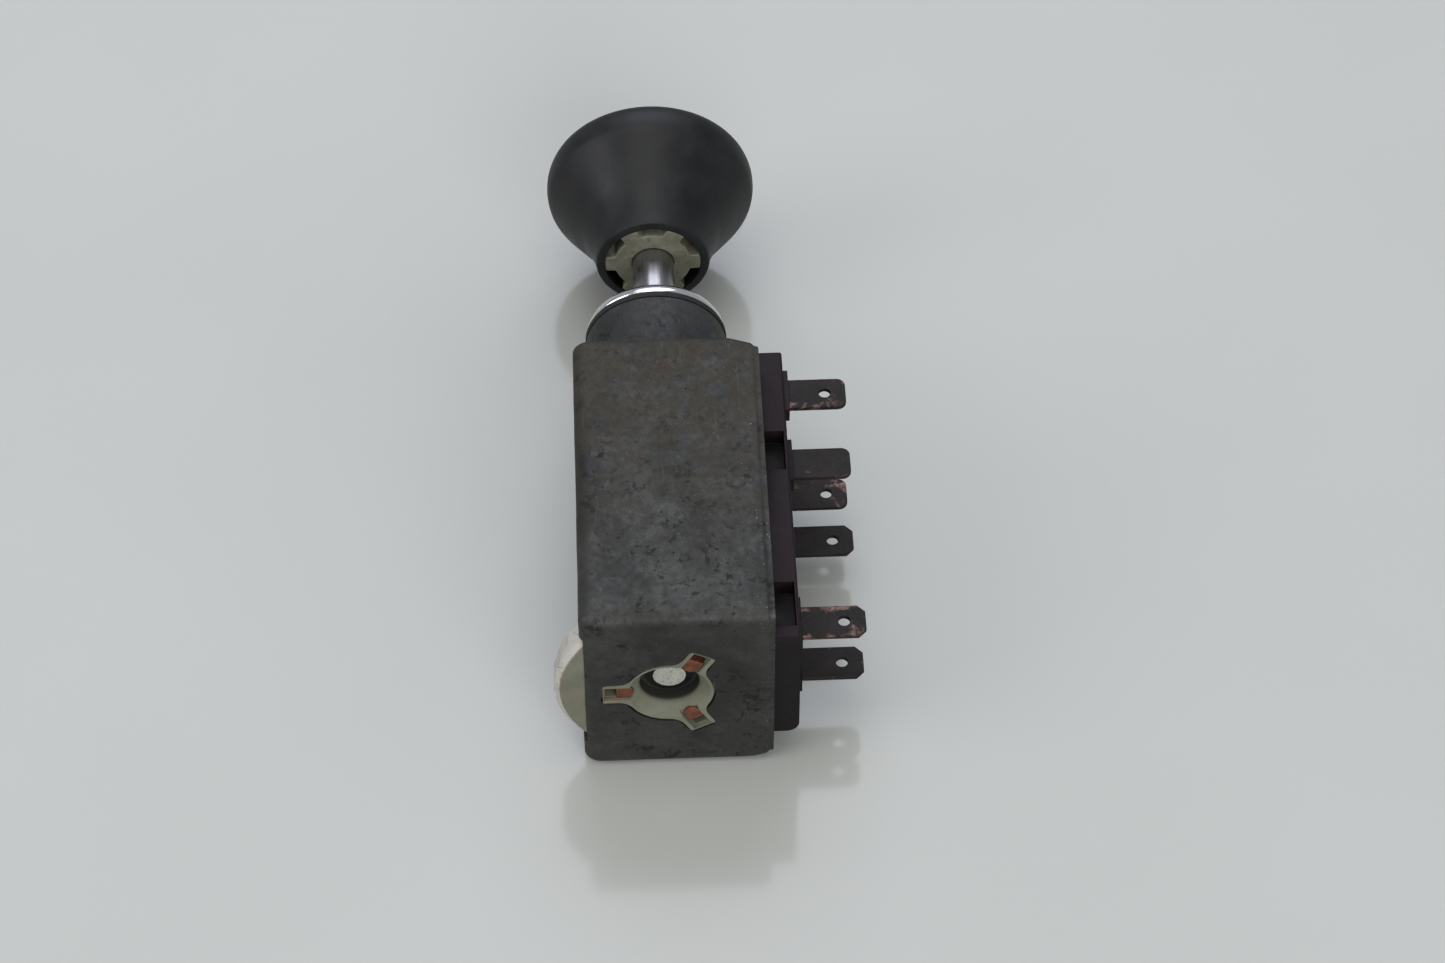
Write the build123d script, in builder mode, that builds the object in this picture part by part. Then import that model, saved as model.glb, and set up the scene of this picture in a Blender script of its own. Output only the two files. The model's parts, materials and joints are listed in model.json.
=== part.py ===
from build123d import *
import os
from math import cos, radians, sin

# Pull switch with a rotary dimmer, in millimetres.
#
# A drawn steel can holds a sliding contact carriage and, at its rear end, a
# wire-wound dimmer on a ceramic disc. A Bakelite base with six blade terminals
# closes the can's open side. A round neck and a bezel nut clamp the switch to a
# panel. The knob's spindle pulls out through two detents for the lamp circuits,
# and turns for the dimmer.
#
# Origin: on the spindle axis, at the panel seat (the front end of the neck).
# +Y points out of the panel towards the knob, +X towards the blade terminals,
# +Z up, with the can on its flat bottom. The spindle is drawn fully pulled out.

# ---- Driving dimensions -------------------------------------------------

can_width = 31.4            # X, closed side to open rim
can_length = 61.2           # Y
can_height = 39.0           # Z
sheet = 1.0                 # can wall
axis_to_closed_side = 14.4
can_corner = 2.4            # upright corners of the can
can_edge = 2.0              # bends round the can's top and bottom

neck_radius = 12.3
neck_length = 15.55
barrel_radius = 8.0         # threaded barrel that the bezel nut screws on to
washer_thick = 1.1
nut_radius = 12.2
nut_height = 3.05
nut_round = 2.4             # rounding of its front rim

spindle_radius = 3.7
journal_radius = 3.0        # where the spindle turns in the carriage
tail_radius = 2.2           # flatted tail inside the dimmer hub
pull_travel = 13.0
knob_gap = 19.55            # panel seat to knob, pulled out
knob_neck_radius = 10.2
knob_radius = 18.8
knob_length = 25.7
lobe_count = 6

base_outer = 21.2           # X of the base's outer face
base_shoulder = 16.0
base_inner = 11.5
base_half_height = 12.8     # part that stands out of the can

blade_width = 6.3
blade_thick = 0.8
blade_hole_radius = 1.0
tip_to_hole = 3.6

disc_radius = 18.75
disc_thick = 5.0
boss_radius = 7.1
boss_height = 0.9
lug_angles = (60, 180, 300)

fit = 0.05                  # radial clearance of running fits
gap = 0.3                   # clearance beside parts that slide past each other

# ---- Positions worked out from them -------------------------------------

can_left = -axis_to_closed_side
can_right = can_left + can_width
can_front = -neck_length
can_rear = can_front - can_length
can_top = can_height / 2
inner_top = can_top - sheet
inner_front = can_front - sheet
inner_rear = can_rear + sheet

flange_rear = inner_front - 1.6
carriage_front = flange_rear - gap
carriage_length = 17.7
carriage_rear = carriage_front - carriage_length
carriage_mid_y = carriage_front - carriage_length / 2

disc_rear = inner_rear + fit
disc_front = disc_rear + disc_thick
hub_front = carriage_rear - 1.3 - pull_travel - gap
tail_end = hub_front - 5.4
stub_end = can_rear + 3.6               # the hub's rear end
clip_rear = stub_end + 0.35             # clip behind the ceramic
clip_groove_radius = 2.2

strip_face = base_inner - 0.6           # face of the fixed contact strips
detent_pitch = pull_travel / 2
ball_radius = 2.5
detent_hole_radius = 1.8
strip_left = can_left + sheet
strip_right = strip_left + 1.0
ball_x = strip_right + ball_radius + fit
ball_y = carriage_mid_y


def across(y):
    """Plane facing -Y at the given Y, with X to the right and Z up."""
    return Plane.XZ.offset(-y)


def facing_x(x):
    """Plane facing +X at the given X, with Y to the right and Z up."""
    return Plane.YZ.offset(x)


def at_angle(degrees, y=0):
    """Plane through the spindle axis, its X pointing outwards at an angle from +X towards +Z."""
    outwards = (cos(radians(degrees)), 0, sin(radians(degrees)))
    normal = (-sin(radians(degrees)), 0, cos(radians(degrees)))
    return Plane(origin=(0, y, 0), x_dir=outwards, z_dir=normal)


def from_axis(vertex):
    """Distance from the spindle axis of a vertex in a sketch across it."""
    return (vertex.X ** 2 + vertex.Y ** 2) ** 0.5


def box_between(low, high, mode=Mode.ADD):
    """A box from its lowest to its highest corner, in the active part."""
    size = [b - a for a, b in zip(low, high)]
    middle = [(a + b) / 2 for a, b in zip(low, high)]
    with Locations(tuple(middle)):
        Box(*size, mode=mode)


def ring(outer, inner, rear, front):
    """A ring or, with no inner radius, a cylinder about the spindle axis."""
    with BuildPart() as made:
        with BuildSketch(across(front)):
            Circle(outer)
            if inner:
                Circle(inner, mode=Mode.SUBTRACT)
        extrude(amount=front - rear)
    return made.part


def finish(part, label):
    """Names a finished piece and writes it."""
    part.label = label
    export_step(part, f"parts/{label}.step")


os.makedirs("parts", exist_ok=True)

# ---- Can ----------------------------------------------------------------

arm_length = 11.3           # three-armed opening in the rear wall
arm_width = 5.2
opening_radius = 7.7
web_radius = 3.0            # between the arms and the round middle
slot_half = 13.7            # slot in the closed side
tab_half = 3.5              # folded tabs of the rim
tab_inner_end = 14.5
notch_width = 2.5           # relief notches at the rim's lower corners
notch_length = 3.6
notch_height = 1.4

with BuildPart() as housing_can:
    box_between((can_left, can_rear, -can_top), (can_right, can_front, can_top))
    upright = housing_can.edges().filter_by(Axis.Z)
    fillet(upright.sort_by(Axis.X)[:2], radius=can_corner)
    around = housing_can.edges().group_by(Axis.Z)
    fillet([e for e in around[0] + around[-1] if e.center().X < can_right - fit], radius=can_edge)
    open_side = housing_can.faces().filter_by(Axis.X).sort_by(Axis.X)[-1]
    offset(amount=-sheet, openings=open_side)
    # Tabs of the rim, folded over the base's shoulder.
    for side in (-1, 1):
        for tab_y in (can_rear + 12, can_front - 12):
            low_z, high_z = sorted((side * tab_inner_end, side * (inner_top + sheet / 2)))
            box_between(
                (base_shoulder + fit, tab_y - tab_half, low_z),
                (can_right, tab_y + tab_half, high_z),
            )
    # Relief notches where the rim's lower corners were pressed in.
    for notch_y in (can_rear, can_front - notch_width):
        box_between(
            (can_right - notch_length, notch_y, -can_top),
            (can_right, notch_y + notch_width, -can_top + notch_height),
            mode=Mode.SUBTRACT,
        )
    # Hole for the guide bushing.
    add(ring(barrel_radius + fit, 0, inner_front - sheet, can_front + sheet), mode=Mode.SUBTRACT)
    # Three-armed opening that keys the ceramic's boss.
    with BuildSketch(across(can_rear + 1.5 * sheet)):
        Circle(opening_radius)
        with PolarLocations(arm_length / 2, 3, start_angle=lug_angles[0]):
            Rectangle(arm_length, arm_width)
        tip_corners = [v for v in vertices() if from_axis(v) > arm_length]
        fillet(tip_corners, radius=0.7)
        root_corners = [v for v in vertices() if from_axis(v) < opening_radius + fit]
        fillet(root_corners, radius=web_radius)
    extrude(amount=3 * sheet, mode=Mode.SUBTRACT)
    # Slot in the closed side, where the ceramic disc stands through.
    box_between(
        (can_left - 1, disc_rear - 0.2, -slot_half),
        (can_left + can_corner, disc_front + gap, slot_half),
        mode=Mode.SUBTRACT,
    )
finish(housing_can.part, "housing_can")

# ---- Neck, bushing and bezel --------------------------------------------

with BuildPart() as neck_sleeve:
    add(ring(neck_radius, barrel_radius + fit, can_front, 0))
    rims = neck_sleeve.edges().filter_by(GeomType.CIRCLE).sort_by(SortBy.RADIUS)[-2:]
    fillet(rims, radius=0.4)
finish(neck_sleeve.part, "neck_sleeve")

with BuildPart() as guide_bushing:
    add(ring(10.0, 0, flange_rear, inner_front))
    add(ring(barrel_radius, 0, inner_front, washer_thick + nut_height - 0.6))
    add(ring(spindle_radius + fit, 0, flange_rear - 1, 10), mode=Mode.SUBTRACT)
    # Recess for the spindle's thrust washer, pulled out.
    add(ring(5.3, 0, flange_rear - 1, flange_rear + 0.45), mode=Mode.SUBTRACT)
    mouth = guide_bushing.edges().filter_by(GeomType.CIRCLE).sort_by(Axis.Y)[-2:]
    chamfer(mouth, length=0.4)
finish(guide_bushing.part, "guide_bushing")

with BuildPart() as panel_washer:
    add(ring(neck_radius + 0.1, barrel_radius + fit, 0, washer_thick))
finish(panel_washer.part, "panel_washer")

with BuildPart() as bezel_nut:
    nut_front = washer_thick + nut_height
    with BuildSketch(Plane.XY):
        with BuildLine():
            rim_line = Line((nut_radius - 0.3, washer_thick), (nut_radius, washer_thick + 0.4))
            side_line = Line(rim_line @ 1, (nut_radius, nut_front - nut_round))
            rounding = CenterArc((nut_radius - nut_round, nut_front - nut_round), nut_round, 0, 90)
            Polyline(
                rounding @ 1,
                (spindle_radius + 1.2, nut_front),
                (spindle_radius + 1.2, nut_front - 0.5),
                (barrel_radius + fit, nut_front - 0.5),
                (barrel_radius + fit, washer_thick),
                rim_line @ 0,
            )
        make_face()
    revolve(axis=Axis.Y)
    # Two slots for a pin spanner.
    with BuildSketch(across(nut_front + 1)):
        with PolarLocations(9.6, 2):
            Rectangle(1.8, 1.6)
    extrude(amount=2.2, mode=Mode.SUBTRACT)
finish(bezel_nut.part, "bezel_nut")

# ---- Terminal base ------------------------------------------------------

base_rear = inner_rear + fit
slab_front = can_front + 1.0
flange_front = inner_front - 0.1
flange_half = inner_top - 0.2
edge_notches = ((58.0, 49.0), (25.2, 16.7))    # rear and front ends, behind the can's front
notch_depth = 3.2

# Each blade: its distance behind the can's front, its height and the X of its tip.
blades = {
    "terminal_1": (6.8, 10.4, 31.7),
    "terminal_2": (20.6, 8.4, 31.7),
    "terminal_3": (12.9, -8.9, 32.0),
    "terminal_4": (21.6, -11.0, 32.6),
    "terminal_5": (49.0, 1.6, 32.6),
    "terminal_6": (50.0, -8.2, 32.4),
}
round_tips = ("terminal_1", "terminal_2", "terminal_3")

# The strip that each blade carries inside: how far its rear and front ends lie
# behind the can's front, and the height that it reaches.
strips = {
    "terminal_1": (13.5, 3.4, 4.5),
    "terminal_2": (33.0, 15.0, 4.5),
    "terminal_3": (16.6, 3.4, -4.5),
    "terminal_4": (33.0, 18.2, -4.5),
    "terminal_5": (52.5, 45.5, 9.6),
    "terminal_6": (53.5, 46.5, -6.4),
}

with BuildPart() as terminal_base:
    box_between(
        (base_inner, base_rear, -flange_half), (base_shoulder, flange_front, flange_half)
    )
    chamfer(terminal_base.edges().filter_by(Axis.X), length=2.2)
    box_between(
        (base_shoulder, base_rear, -base_half_height),
        (can_right + 0.1, flange_front, base_half_height),
    )
    with BuildSketch(facing_x(can_right + 0.1)):
        with Locations(((base_rear + slab_front) / 2, 0)):
            Rectangle(slab_front - base_rear, 2 * base_half_height)
    extrude(amount=base_outer - can_right - 0.1)
    # Rounded lower rear corner and softened outer edges.
    slab_edges = terminal_base.edges().filter_by(Axis.Y).group_by(Axis.X)[-1]
    fillet(slab_edges.sort_by(Axis.Z)[0], radius=2.2)
    fillet(slab_edges.sort_by(Axis.Z)[-1], radius=0.5)
    # Notches in the long edges, two above and two below.
    for rear, front in edge_notches:
        for side in (-1, 1):
            low_z, high_z = sorted((side * (base_half_height - notch_depth), side * 14))
            box_between(
                (can_right + 0.1, can_front - rear, low_z),
                (base_outer - 0.6, can_front - front, high_z),
                mode=Mode.SUBTRACT,
            )
    # A low collar round the root of each blade.
    for behind, blade_z, _ in blades.values():
        blade_y = can_front - behind
        box_between(
            (base_outer - 0.5, blade_y - 4.4, blade_z - 1.5),
            (base_outer + 0.8, blade_y + 4.4, blade_z + 1.5),
        )
    # Slits for the blades.
    for behind, blade_z, _ in blades.values():
        blade_y = can_front - behind
        box_between(
            (base_inner - 1, blade_y - blade_width / 2 - 0.02, blade_z - blade_thick / 2 - 0.02),
            (base_outer + 2, blade_y + blade_width / 2 + 0.02, blade_z + blade_thick / 2 + 0.02),
            mode=Mode.SUBTRACT,
        )
finish(terminal_base.part, "terminal_base")

for name, (behind, blade_z, blade_tip) in blades.items():
    blade_y = can_front - behind
    rear, front, reach = strips[name]
    with BuildPart() as terminal:
        # The blade, with its tip corners rounded or cut off.
        with BuildSketch(Plane.XY.offset(blade_z - blade_thick / 2)):
            with Locations(((strip_face + blade_tip) / 2, blade_y)):
                Rectangle(blade_tip - strip_face, blade_width)
            corners = vertices().group_by(Axis.X)[-1]
            if name in round_tips:
                fillet(corners, radius=1.5)
            else:
                chamfer(corners, length=1.3)
            with Locations((blade_tip - tip_to_hole, blade_y)):
                if name != "terminal_2":
                    Circle(blade_hole_radius, mode=Mode.SUBTRACT)
        extrude(amount=blade_thick)
        # The contact strip that it is bent into, flat on the base's inner face.
        low_z = min(reach, blade_z - blade_thick / 2)
        high_z = max(reach, blade_z + blade_thick / 2)
        box_between(
            (strip_face, can_front - rear, low_z), (base_inner, can_front - front, high_z)
        )
    finish(terminal.part, name)

# ---- Dimmer -------------------------------------------------------------

coil_radius = 12.6
coil_wire = 1.3
coil_from = 304
coil_sweep = 248
wiper_reach = 11.9
coil_y = disc_front - 1.15
lug_width = 2.8
lug_thick = 0.5
foot_end = 5.8              # inner end of a lug's folded foot
leg_outer = 8.7             # outer face of its leg
pocket_end = 10.8
slot_end = 10.6
hub_end_radius = 2.7
dish_radius = 6.8           # mouth of the recess round the hub's end
dish_floor_radius = 4.9
dish_floor = disc_rear + 3.5
disc_flat = inner_top - 0.65

with BuildPart() as rheostat_ceramic:
    # Disc, eased at its rear rim, with flats at the can's walls and at the base.
    with BuildSketch(Plane.XY):
        with BuildLine():
            Polyline(
                (0, disc_rear),
                (disc_radius - 1.0, disc_rear),
                (disc_radius, disc_rear + 1.0),
                (disc_radius, disc_front - 0.4),
                (disc_radius - 0.4, disc_front),
                (0, disc_front),
                close=True,
            )
        make_face()
    revolve(axis=Axis.Y)
    box_between(
        (-disc_radius, disc_rear, -disc_flat), (base_inner - gap, disc_front, disc_flat),
        mode=Mode.INTERSECT,
    )
    # Three-armed boss, nearly flush with the can's rear wall.
    with BuildSketch(across(disc_rear + 0.5)):
        Circle(boss_radius)
        with PolarLocations(arm_length / 2 - 0.2, 3, start_angle=lug_angles[0]):
            Rectangle(arm_length - 0.4, arm_width - 0.6)
        root_corners = [v for v in vertices() if from_axis(v) < boss_radius + fit]
        fillet(root_corners, radius=web_radius)
    extrude(amount=boss_height + 0.5)
    # Pockets for the folded lugs, and the slots that they come through.
    with BuildSketch(across(disc_rear)):
        with PolarLocations((foot_end - 0.3 + pocket_end) / 2, 3, start_angle=lug_angles[0]):
            Rectangle(pocket_end - foot_end + 0.3, lug_width + 0.4)
    extrude(amount=2, mode=Mode.SUBTRACT)
    with BuildSketch(across(disc_front + 1)):
        with PolarLocations((leg_outer - 0.7 + slot_end) / 2, 3, start_angle=lug_angles[0]):
            Rectangle(slot_end - leg_outer + 0.7, lug_width + 0.2)
    extrude(amount=disc_thick + 3, mode=Mode.SUBTRACT)
    # Bearing for the hub, and the dished recess round its rear end.
    add(ring(hub_end_radius + fit, 0, disc_rear - 3, disc_front + 1), mode=Mode.SUBTRACT)
    with BuildSketch(Plane.XY):
        with BuildLine():
            Polyline(
                (0, disc_rear - boss_height - fit),
                (dish_radius, disc_rear - boss_height - fit),
                (dish_floor_radius, disc_rear + 1.4),
                (dish_floor_radius, dish_floor),
                (0, dish_floor),
                close=True,
            )
        make_face()
    revolve(axis=Axis.Y, mode=Mode.SUBTRACT)
    # Groove for the resistance winding.
    with BuildSketch(at_angle(coil_from + 3)):
        with Locations((coil_radius, disc_front)):
            Rectangle(2 * coil_wire + 0.4, 2 * (disc_front - coil_y + coil_wire + 0.2))
    revolve(axis=Axis.Y, revolution_arc=coil_sweep + 6, mode=Mode.SUBTRACT)
finish(rheostat_ceramic.part, "rheostat_ceramic")

with BuildPart() as resistance_coil:
    with BuildSketch(at_angle(coil_from)):
        with Locations((coil_radius, coil_y)):
            Circle(coil_wire)
    revolve(axis=Axis.Y, revolution_arc=coil_sweep)
finish(resistance_coil.part, "resistance_coil")

with BuildPart() as rheostat_lugs:
    for angle in lug_angles:
        # Leg through the slot, and the round-ended foot folded inwards behind it.
        with BuildSketch(at_angle(angle)):
            with Locations((leg_outer - lug_thick / 2, (disc_rear + disc_front + gap) / 2)):
                Rectangle(lug_thick, disc_front + gap - disc_rear)
        extrude(amount=lug_width / 2, both=True)
        foot = Plane(
            origin=(0, disc_rear, 0),
            x_dir=(cos(radians(angle)), 0, sin(radians(angle))),
            z_dir=(0, -1, 0),
        )
        with BuildSketch(foot):
            with BuildLine():
                start = foot_end + lug_width / 2
                top = Line((leg_outer, lug_width / 2), (start, lug_width / 2))
                end = RadiusArc(top @ 1, (start, -lug_width / 2), -lug_width / 2)
                Line(end @ 1, (leg_outer, -lug_width / 2))
                Line((leg_outer, -lug_width / 2), (leg_outer, lug_width / 2))
            make_face()
        extrude(amount=lug_thick)
finish(rheostat_lugs.part, "rheostat_lugs")

# Straps from the winding's ends to terminals 5 and 6.
for name, side, leg_end in (("dimmer_strap_feed", 1, 46.5), ("dimmer_strap_out", -1, 47.5)):
    with BuildPart() as strap:
        low_z, high_z = sorted((side * 5.5, side * 9.3))
        box_between(
            (3.6, disc_front, low_z), (strip_face, disc_front + lug_thick, high_z)
        )
        box_between(
            (strip_face - lug_thick, disc_front, low_z), (strip_face, can_front - leg_end, high_z)
        )
        # Hole that clears the lug's peened end.
        with BuildSketch(across(disc_front + 1)):
            with PolarLocations(leg_outer - lug_thick / 2, 1, start_angle=side * 60):
                Rectangle(1.0, lug_width + 0.4)
        extrude(amount=2, mode=Mode.SUBTRACT)
    finish(strap.part, name)

with BuildPart() as wiper_hub:
    add(ring(hub_end_radius, 0, stub_end, disc_front + gap))
    add(ring(6.0, 0, disc_front + gap, disc_front + 1.8))
    add(ring(4.2, 0, disc_front + 1.8, hub_front))
    # Bore with two flats, which the spindle's tail slides and turns in.
    with BuildSketch(across(hub_front)):
        Circle(tail_radius + fit)
        Rectangle(2 * (tail_radius + fit), 2 * (1.5 + fit), mode=Mode.INTERSECT)
    extrude(amount=hub_front - tail_end + pull_travel + gap, mode=Mode.SUBTRACT)
    # Groove for the clip behind the ceramic.
    add(ring(3.0, clip_groove_radius, clip_rear - fit, clip_rear + 0.4), mode=Mode.SUBTRACT)
finish(wiper_hub.part, "wiper_hub")

with BuildPart() as hub_clip:
    add(ring(3.9, clip_groove_radius + fit, clip_rear, clip_rear + 0.35))
    box_between((-1.2, clip_rear - 1, 0), (1.2, clip_rear + 1, 5), mode=Mode.SUBTRACT)
finish(hub_clip.part, "hub_clip")

with BuildPart() as wiper_arm:
    arm_rear = disc_front + 1.8
    add(ring(6.0, 4.2 + fit, arm_rear, arm_rear + 0.5))
    box_between((-wiper_reach - 1.0, arm_rear, -2.0), (-5.0, arm_rear + 0.5, 2.0))
    tip_edges = wiper_arm.edges().filter_by(Axis.Y).group_by(Axis.X)[0]
    fillet(tip_edges, radius=1.1)
    with BuildSketch(across(arm_rear + 0.2)):
        with Locations((-wiper_reach, 0)):
            Circle(0.8)
    extrude(amount=arm_rear + 0.2 - (coil_y + coil_wire + fit))
finish(wiper_arm.part, "wiper_arm")

# ---- Contact carriage ---------------------------------------------------

bridge_back = 9.0
bridge_thick = 0.8
bridge_depth = 4.6
bridge_offsets = (4.3, -4.3)
rider_height = 6.5

with BuildPart() as contact_carriage:
    box_between(
        (ball_x - 1.4, carriage_rear, -11.0), (8.2, carriage_front, 11.0)
    )
    # Shoes that slide on the can's top and bottom walls.
    box_between(
        (-6.0, carriage_rear + 1.5, -(inner_top - gap)), (2.0, carriage_front - 1.5, inner_top - gap)
    )
    add(ring(journal_radius + fit, 0, carriage_rear - 1, carriage_front + 1), mode=Mode.SUBTRACT)
    # Pockets for the two contact bridges, and the seats of their springs.
    for shift in bridge_offsets:
        middle = carriage_mid_y + shift
        box_between(
            (7.2, middle - bridge_depth / 2 - gap, -rider_height - 2.2 - gap),
            (9.0, middle + bridge_depth / 2 + gap, rider_height + 2.2 + gap),
            mode=Mode.SUBTRACT,
        )
        with BuildSketch(facing_x(4.4)):
            with Locations((middle, 0)):
                Circle(2.2)
        extrude(amount=5, mode=Mode.SUBTRACT)
    # Blind bore for the detent spring and ball.
    with BuildSketch(facing_x(ball_x - 3)):
        with Locations((ball_y, 0)):
            Circle(ball_radius + fit)
    extrude(amount=-3.9 - ball_x + 3, mode=Mode.SUBTRACT)
finish(contact_carriage.part, "contact_carriage")


def spring(x_from, x_to, y, coil, wire, turns):
    """A compression spring along X, from x_from to x_to, at the given Y."""
    span = x_to - x_from - 2 * wire
    start = Plane(origin=(x_from + wire, y, 0), x_dir=(0, 1, 0), z_dir=(1, 0, 0))
    path = start * Helix(pitch=span / turns, height=span, radius=coil)
    section = Plane(path @ 0, z_dir=path % 0) * Circle(wire)
    return sweep(section, path=path, is_frenet=True)


for name, shift in zip(("bridge_front", "bridge_rear"), bridge_offsets):
    middle = carriage_mid_y + shift
    with BuildPart() as bridge:
        box_between(
            (bridge_back, middle - bridge_depth / 2, -rider_height - 2.2),
            (bridge_back + bridge_thick, middle + bridge_depth / 2, rider_height + 2.2),
        )
        fillet(bridge.edges().filter_by(Axis.X), radius=1.0)
        with BuildSketch(facing_x(bridge_back + bridge_thick - 0.1)):
            with Locations((middle, rider_height), (middle, -rider_height)):
                Circle(1.5)
        extrude(amount=strip_face - fit - bridge_back - bridge_thick + 0.1)
        crowns = bridge.faces().sort_by(Axis.X)[-2:]
        fillet(crowns.edges(), radius=0.5)
    finish(bridge.part, name)
    finish(spring(4.4 + fit, bridge_back - fit, middle, 1.5, 0.3, 4), f"{name}_spring")

with BuildPart() as detent_ball:
    with Locations((ball_x, ball_y, 0)):
        Sphere(ball_radius)
finish(detent_ball.part, "detent_ball")

finish(spring(ball_x + ball_radius - 0.6, -3.95, ball_y, 1.6, 0.35, 3), "detent_spring")

with BuildPart() as detent_strip:
    strip_front = ball_y + 5
    strip_rear = ball_y - pull_travel - 5
    box_between((strip_left, strip_rear, -4.5), (strip_right, strip_front, 4.5))
    with BuildSketch(facing_x(strip_left)):
        for stage in range(3):
            with Locations((ball_y - stage * detent_pitch, 0)):
                Circle(detent_hole_radius)
    extrude(amount=sheet, mode=Mode.SUBTRACT)
finish(detent_strip.part, "detent_strip")

# ---- Spindle and knob ---------------------------------------------------

knob_front = knob_gap + knob_length
rim_rear = knob_gap + 16.0              # where the underside meets the rounded rim
rim_length = 5.8
rim_step = 0.9
insert_length = 13.0
spindle_front = knob_gap + insert_length - 1.0
groove_front = carriage_rear - 0.4
lobe_radius = 8.6
lobe_root = 6.9
lobe_width = 3.4

with BuildPart() as spindle:
    add(ring(spindle_radius, 0, carriage_front + 0.5, spindle_front))
    chamfer(spindle.edges().sort_by(Axis.Y)[-1], length=0.6)
    add(ring(journal_radius, 0, groove_front - 1.1, carriage_front + 0.5))
    # Tail with two flats.
    with BuildSketch(across(groove_front - 1.1)):
        Circle(tail_radius)
        Rectangle(2 * tail_radius, 3.0, mode=Mode.INTERSECT)
    extrude(amount=groove_front - 1.1 - tail_end)
    # Groove for the circlip behind the carriage.
    add(ring(journal_radius + 1, 2.4, groove_front - 0.6, groove_front), mode=Mode.SUBTRACT)
finish(spindle.part, "spindle")

with BuildPart() as thrust_washer:
    add(ring(5.0, journal_radius + fit, carriage_front + fit, carriage_front + 0.45))
finish(thrust_washer.part, "thrust_washer")

with BuildPart() as spindle_circlip:
    add(ring(4.4, 2.45, groove_front - 0.55, groove_front - 0.05))
    box_between(
        (-1.6, groove_front - 1, 0), (1.6, groove_front + 1, 6), mode=Mode.SUBTRACT
    )
finish(spindle_circlip.part, "spindle_circlip")

with BuildPart() as knob:
    with BuildSketch(Plane.XY):
        with BuildLine():
            neck_line = Line((knob_neck_radius, knob_gap), (knob_neck_radius + 0.7, knob_gap + 3.4))
            underside = Spline(
                neck_line @ 1,
                (knob_neck_radius + 2.4, knob_gap + 7.4),
                (knob_neck_radius + 5.0, knob_gap + 11.4),
                (knob_radius - rim_step, rim_rear),
            )
            rim = Spline(
                underside @ 1,
                (knob_radius, rim_rear + 0.45 * rim_length),
                (knob_radius - rim_step, rim_rear + rim_length),
                tangents=[(0.6, 0.8), (-0.6, 0.8)],
            )
            Spline(
                rim @ 1,
                (0.65 * knob_radius, knob_front - 1.1),
                (0, knob_front),
                tangents=[(-0.6, 0.8), (-1, 0)],
            )
            Polyline(
                (0, knob_front),
                (0, knob_gap + insert_length + fit),
                (lobe_radius + fit, knob_gap + insert_length + fit),
                (lobe_radius + fit, knob_gap),
                neck_line @ 0,
            )
        make_face()
    revolve(axis=Axis.Y)
finish(knob.part, "knob")

with BuildPart() as knob_insert:
    with BuildSketch(across(knob_gap + insert_length)):
        Circle(lobe_root)
        with PolarLocations(lobe_radius / 2, lobe_count):
            Rectangle(lobe_radius, lobe_width)
        Circle(lobe_radius, mode=Mode.INTERSECT)
        Circle(spindle_radius + fit, mode=Mode.SUBTRACT)
    extrude(amount=insert_length)
finish(knob_insert.part, "knob_insert")
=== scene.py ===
import json
import math

import bmesh
import bpy
from mathutils import Matrix, Vector, noise

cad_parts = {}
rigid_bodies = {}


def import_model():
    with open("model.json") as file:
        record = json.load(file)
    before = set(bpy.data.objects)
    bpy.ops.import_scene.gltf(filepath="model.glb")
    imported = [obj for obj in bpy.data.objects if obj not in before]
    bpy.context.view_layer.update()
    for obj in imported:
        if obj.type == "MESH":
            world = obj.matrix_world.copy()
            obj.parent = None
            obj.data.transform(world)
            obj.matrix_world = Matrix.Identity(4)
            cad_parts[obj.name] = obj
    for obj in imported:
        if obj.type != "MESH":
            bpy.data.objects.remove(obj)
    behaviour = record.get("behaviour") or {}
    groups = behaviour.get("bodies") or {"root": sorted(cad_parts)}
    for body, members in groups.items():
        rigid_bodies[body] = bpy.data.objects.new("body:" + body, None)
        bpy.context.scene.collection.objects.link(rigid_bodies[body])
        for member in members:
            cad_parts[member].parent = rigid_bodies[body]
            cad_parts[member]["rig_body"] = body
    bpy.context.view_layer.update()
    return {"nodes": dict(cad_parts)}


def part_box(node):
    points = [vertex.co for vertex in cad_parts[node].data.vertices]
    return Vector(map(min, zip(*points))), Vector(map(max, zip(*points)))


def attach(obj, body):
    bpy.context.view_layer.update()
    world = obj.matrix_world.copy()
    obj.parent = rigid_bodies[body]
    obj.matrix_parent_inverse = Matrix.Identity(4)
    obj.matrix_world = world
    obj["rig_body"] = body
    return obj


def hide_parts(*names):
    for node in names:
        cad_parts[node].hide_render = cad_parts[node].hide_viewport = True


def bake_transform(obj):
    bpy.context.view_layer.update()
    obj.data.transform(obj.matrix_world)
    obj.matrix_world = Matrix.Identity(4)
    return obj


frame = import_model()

# The looks of a pull switch with a rotary dimmer, lying on its side on a pale table.
# Lengths in this file are in millimetres, turned into metres by MM where a mesh is made.

MM = 0.001

TURNED_SEGMENTS = 128      # round the knob
CIRCLE_SEGMENTS = 96       # round a cut hole
MERGE = 1e-6               # metres, for points that coincide


# ---- Places read from the frame ------------------------------------------


def low(node):
    """A CAD node's lowest corner, in millimetres."""
    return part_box(node)[0] / MM


def high(node):
    """A CAD node's highest corner, in millimetres."""
    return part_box(node)[1] / MM


CAN_LOW, CAN_HIGH = low("housing_can"), high("housing_can")
FLOOR_Z = CAN_LOW.z
DISC_RADIUS = -low("rheostat_ceramic").x
BASE_TOP = 12.8            # upper face of the terminal base, as in the CAD model
BLADE_HALF = 3.15          # half the width of a blade
# Middle of each blade, as a distance behind the can's front.
BLADES_BEHIND = {1: 6.8, 2: 20.6, 3: 12.9, 4: 21.6, 5: 49.0, 6: 50.0}


# ---- Node helpers ---------------------------------------------------------


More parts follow.
